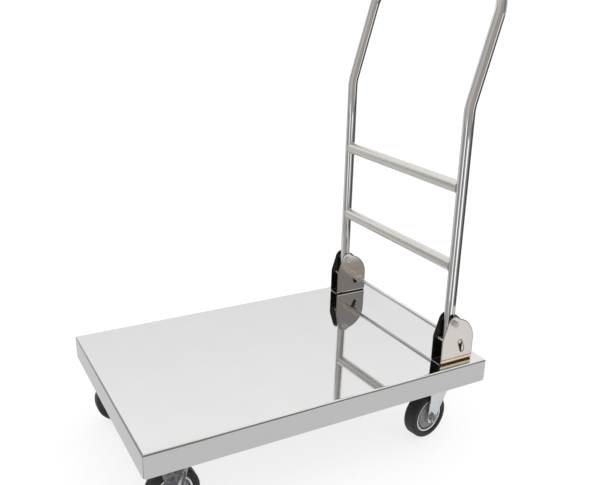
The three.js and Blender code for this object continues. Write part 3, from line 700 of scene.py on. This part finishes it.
def top_plate(hole):
    outline = []
    for cx, cy, start in ((39.5, 25.5, 0), (-39.5, 25.5, 1), (-39.5, -25.5, 2), (39.5, -25.5, 3)):
        outline += circle(cx, cy, 8, 8, start * math.pi / 2, (start + 1) * math.pi / 2)
    plate = prism(outline, "Z", PLATE_TOP - PLATE_SHEET, PLATE_TOP - 0.02)
    holes = [circle(sx * PLATE_HOLE_X, sy * PLATE_HOLE_Y, 4.4, 24) for sx, sy in CORNERS]
    tools = [prism(outline, "Z", 120, 145) for outline in holes]
    if hole:
        tools.append(prism(circle(0, 0, KING_HOLE_R, 32), "Z", 120, 145))
    return soften(carve(plate, tools), 0.35, 45.0)


def plate_fixings():
    """Four hexagon screws up through the plate, with their nuts on top of the channel's web."""
    under = PLATE_TOP - PLATE_SHEET
    parts = []
    for sx, sy in CORNERS:
        at = (sx * PLATE_HOLE_X, sy * PLATE_HOLE_Y, 0)
        parts.append(hex_block("Z", (under - 5.3, under), at, PLATE_FLATS))
        parts.append(rod("Z", (under - 1, PLATE_TOP + 12), at, 3.9, 24, 0.6))
        parts.append(hex_block("Z", (PLATE_TOP + 2.5, PLATE_TOP + 9), at, PLATE_FLATS))
    return joined(*parts)


def race():
    outer = circle(24.5, 126.5, 2.5, 8, 0, -math.pi / 2)
    profile = [(18, 133.2), (20.5, 124.2), (22, 124.0), *reversed(outer), (27, 130.5), (25.5, 131.6),
               (27, 132.6), (26.6, 133.2)]
    return lathe(profile, "Z", (0, 0, 0), 64)


for side, sign in SIDES:
    name = f"rear_{side}"
    here = Matrix.Translation((SWIVEL_X, sign * WHEEL_Y, 0))
    turned = here @ Matrix.Rotation(SWIVEL_ANGLE, 4, "Z")
    body = f"swivel_{side}"
    yoke = fork(fork_outline(-33, 27, YOKE_TOP, -TRAIL), YOKE_TOP, -TRAIL, True)
    piece(f"swivel_yoke_{name}", yoke, ZINC, body, [f"swivel_fork_{name}"], turned)
    piece(f"top_plate_{name}", top_plate(True), ZINC, "chassis", [f"caster_plate_{name}"],
          here)
    piece(f"race_ring_{name}", race(), ZINC, "chassis", [f"swivel_race_{name}"], here)
    head = YOKE_TOP - FORK_SHEET - 0.3
    pin_top = PLATE_TOP - 0.3
    pin = [(0, head - 4), (7.6, head - 4), (9, head - 2.8), (9, head), (5, head), (5, pin_top), (0, pin_top)]
    piece(f"king_rivet_{name}", lathe(pin, "Z", (0, 0, 0), 48), ZINC, "chassis", [f"kingpin_{name}"],
          here)
    piece(f"plate_screws_{name}", plate_fixings(), ZINC, "chassis", place=here)
    centre = turned @ Vector((-TRAIL, 0, WHEEL_R))
    build_wheel(name, centre, SWIVEL_ANGLE, sign, f"rear_wheel_{side}", body)

for side, sign in SIDES:
    name = f"front_{side}"
    here = Matrix.Translation((FIXED_X, sign * WHEEL_Y, 0))
    yoke = fork(fork_outline(-31, 31, PLATE_TOP - 2.4, 0), PLATE_TOP - 2.4, 0, False)
    piece(f"fixed_yoke_{name}", joined(yoke, top_plate(False)), ZINC, "chassis", [f"fixed_fork_{name}"],
          here)
    piece(f"plate_screws_{name}", plate_fixings(), ZINC, "chassis", place=here)
    build_wheel(name, (FIXED_X, sign * WHEEL_Y, WHEEL_R), 0.0, sign, f"front_wheel_{side}", "chassis")

# ---- carried-over CAD nodes ----------------------------------------------------------------------
for node in ("crossmember_front", "crossmember_rear", "spine_channel"):
    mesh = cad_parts[node].data
    mesh.materials.clear()
    mesh.materials.append(FORMED)


# ---- studio --------------------------------------------------------------------------------------
def studio_surface(name, corners, dark, light, emission):
    mesh = bpy.data.meshes.new(name)
    mesh.from_pydata([Vector(c) for c in corners], [], [tuple(range(len(corners)))])
    obj = bpy.data.objects.new(name, mesh)
    scene.collection.objects.link(obj)
    material = plain(f"{name}_paint", dark, light, (0.8, 0.95), 0.6, bump=0.0)
    inputs = material.node_tree.nodes["Principled BSDF"].inputs
    inputs["Emission Color"].default_value = (1, 1, 1, 1)
    inputs["Emission Strength"].default_value = emission
    mesh.materials.append(material)
    return obj


def reflector(name, corners, level, tint=(1.0, 1.0, 1.0)):
    """A grey panel that only the polished metal shows, as a photographer's flag or card does."""
    paint_dark = tuple(0.02 * t for t in tint)
    obj = studio_surface(name, corners, paint_dark, paint_dark, level)
    shader = obj.active_material.node_tree.nodes["Principled BSDF"]
    shader.inputs["Emission Color"].default_value = (*tint, 1)
    obj.visible_camera = obj.visible_diffuse = obj.visible_shadow = False
    obj.visible_transmission = obj.visible_volume_scatter = False


def upright(start, end, low, high):
    """The corners of a wall panel that stands between two floor points."""
    return [(*start, low), (*end, low), (*end, high), (*start, high)]


def flat_mat(x0, x1, y0, y1):
    return [(x0, y0, 0.001), (x1, y0, 0.001), (x1, y1, 0.001), (x0, y1, 0.001)]


FLOOR = ((-80, -80), (80, -80), (80, 80), (-80, 80))
paper = studio_surface("paper_floor", [(x, y, 0) for x, y in FLOOR], (0.30, 0.30, 0.30), (0.31, 0.31, 0.31),
                       0.74)
paper.visible_glossy = False
reflector("room_floor", [(x, y, -0.001) for x, y in FLOOR], 0.62)

WALL_Y = -3.6
PANELS = (("room_wall", -3.6, 1.3, 0, 6, 0.36, (1.0, 0.92, 0.85)),
          ("wall_shade", 1.3, 2.0, 0, 4, 0.24, (1.0, 0.88, 0.80)),
          ("wall_card", 2.0, 3.6, 0, 1.2, 1.0, (1.0, 1.0, 1.0)),
          ("wall_over_card", 2.0, 3.6, 1.2, 4, 0.20, (0.95, 0.96, 1.0)),
          ("wall_right", 3.6, 9, 0, 4, 0.20, (1.0, 1.0, 1.0)))
for label, x0, x1, low, high, level, tint in PANELS:
    reflector(label, upright((x0, WALL_Y), (x1, WALL_Y), low, high), level, tint)
reflector("side_wall", upright((-3.6, WALL_Y), (-3.6, 1.6), 0, 6), 0.52, (1.0, 0.96, 0.92))
reflector("screen_left", upright((-3.6, 1.6), (-1.9, 3.1), 0, 3.0), 0.34)
reflector("mat_front", flat_mat(-0.36, -0.20, -0.37, -0.255), 0.02, (0.95, 0.85, 1.0))
reflector("mat_right", flat_mat(0.56, 0.95, -0.42, 0.15), 0.22, (1.0, 0.92, 0.84))

# cards lie round the handle like the sectors of a clock, so its bright tubes show grey and white stripes:
# each has a name, its first and last bearing in degrees, its near radius in metres, and its brightness
CARDS = (("card_dark_right", 75, 132, 0.72, 0.03),
         ("card_shade_right", 132, 154, 0.72, 0.13),
         ("card_grey_front", 154, 174, 0.44, 0.40),
         ("card_white_front", 174, 196, 0.42, 1.35),
         ("card_grey_behind", 196, 216, 0.42, 0.36),
         ("card_shade_left", 216, 236, 0.55, 0.14),
         ("card_white_left", 236, 258, 0.75, 1.10),
         ("card_grey_left", 258, 280, 0.80, 0.28),
         ("card_grey_far_left", 280, 312, 1.16, 0.28))
CARD_CENTRE, CARD_REACH, CARD_STEPS = (0.29, -0.2), 9.0, 8
for label, start, end, near, level in CARDS:
    bearings = [math.radians(start + (end - start) * i / CARD_STEPS) for i in range(CARD_STEPS + 1)]
    ring = [(near, a) for a in bearings] + [(CARD_REACH, a) for a in reversed(bearings)]
    corners = [(CARD_CENTRE[0] + r * math.sin(a), CARD_CENTRE[1] + r * math.cos(a), 0.002) for r, a in ring]
    reflector(label, corners, level)

# the sky of the studio: pale at the horizon, greyer just above it, and brightest higher up
world = bpy.data.worlds.new("studio")
world.use_nodes = True
nodes, links = world.node_tree.nodes, world.node_tree.links
direction = nodes.new("ShaderNodeTexCoord")
split = nodes.new("ShaderNodeSeparateXYZ")
sky = nodes.new("ShaderNodeValToRGB")
stops = sky.color_ramp.elements
stops[0].position, stops[0].color = 0.1, (0.76, 0.76, 0.76, 1)
stops[1].position, stops[1].color = 1.0, (0.90, 0.90, 0.90, 1)
brightest = stops.new(0.6)
brightest.color = (1.0, 1.0, 1.0, 1)
horizon = stops.new(0.0)
horizon.color = (0.94, 0.94, 0.94, 1)
links.new(direction.outputs["Generated"], split.inputs["Vector"])
links.new(split.outputs["Z"], sky.inputs["Fac"])
links.new(sky.outputs["Color"], nodes["Background"].inputs["Color"])
nodes["Background"].inputs["Strength"].default_value = 1.06
scene.world = world
scene.view_settings.view_transform = "Standard"

# the photograph's viewpoint
camera_data = bpy.data.cameras.new("camera")
camera_data.sensor_width = 36.0
camera_data.lens = 44.2
camera = bpy.data.objects.new("camera", camera_data)
scene.collection.objects.link(camera)
yaw, pitch, roll = math.radians(29.09), math.radians(19.46), math.radians(1.40)
tilt = Matrix.Rotation(math.pi / 2 - pitch, 4, "X") @ Matrix.Rotation(roll, 4, "Z")
heading = Matrix.Rotation(-yaw, 4, "Z") @ tilt
camera.matrix_world = Matrix.Translation((-0.6471, -1.2528, 0.9223)) @ heading
scene.camera = camera
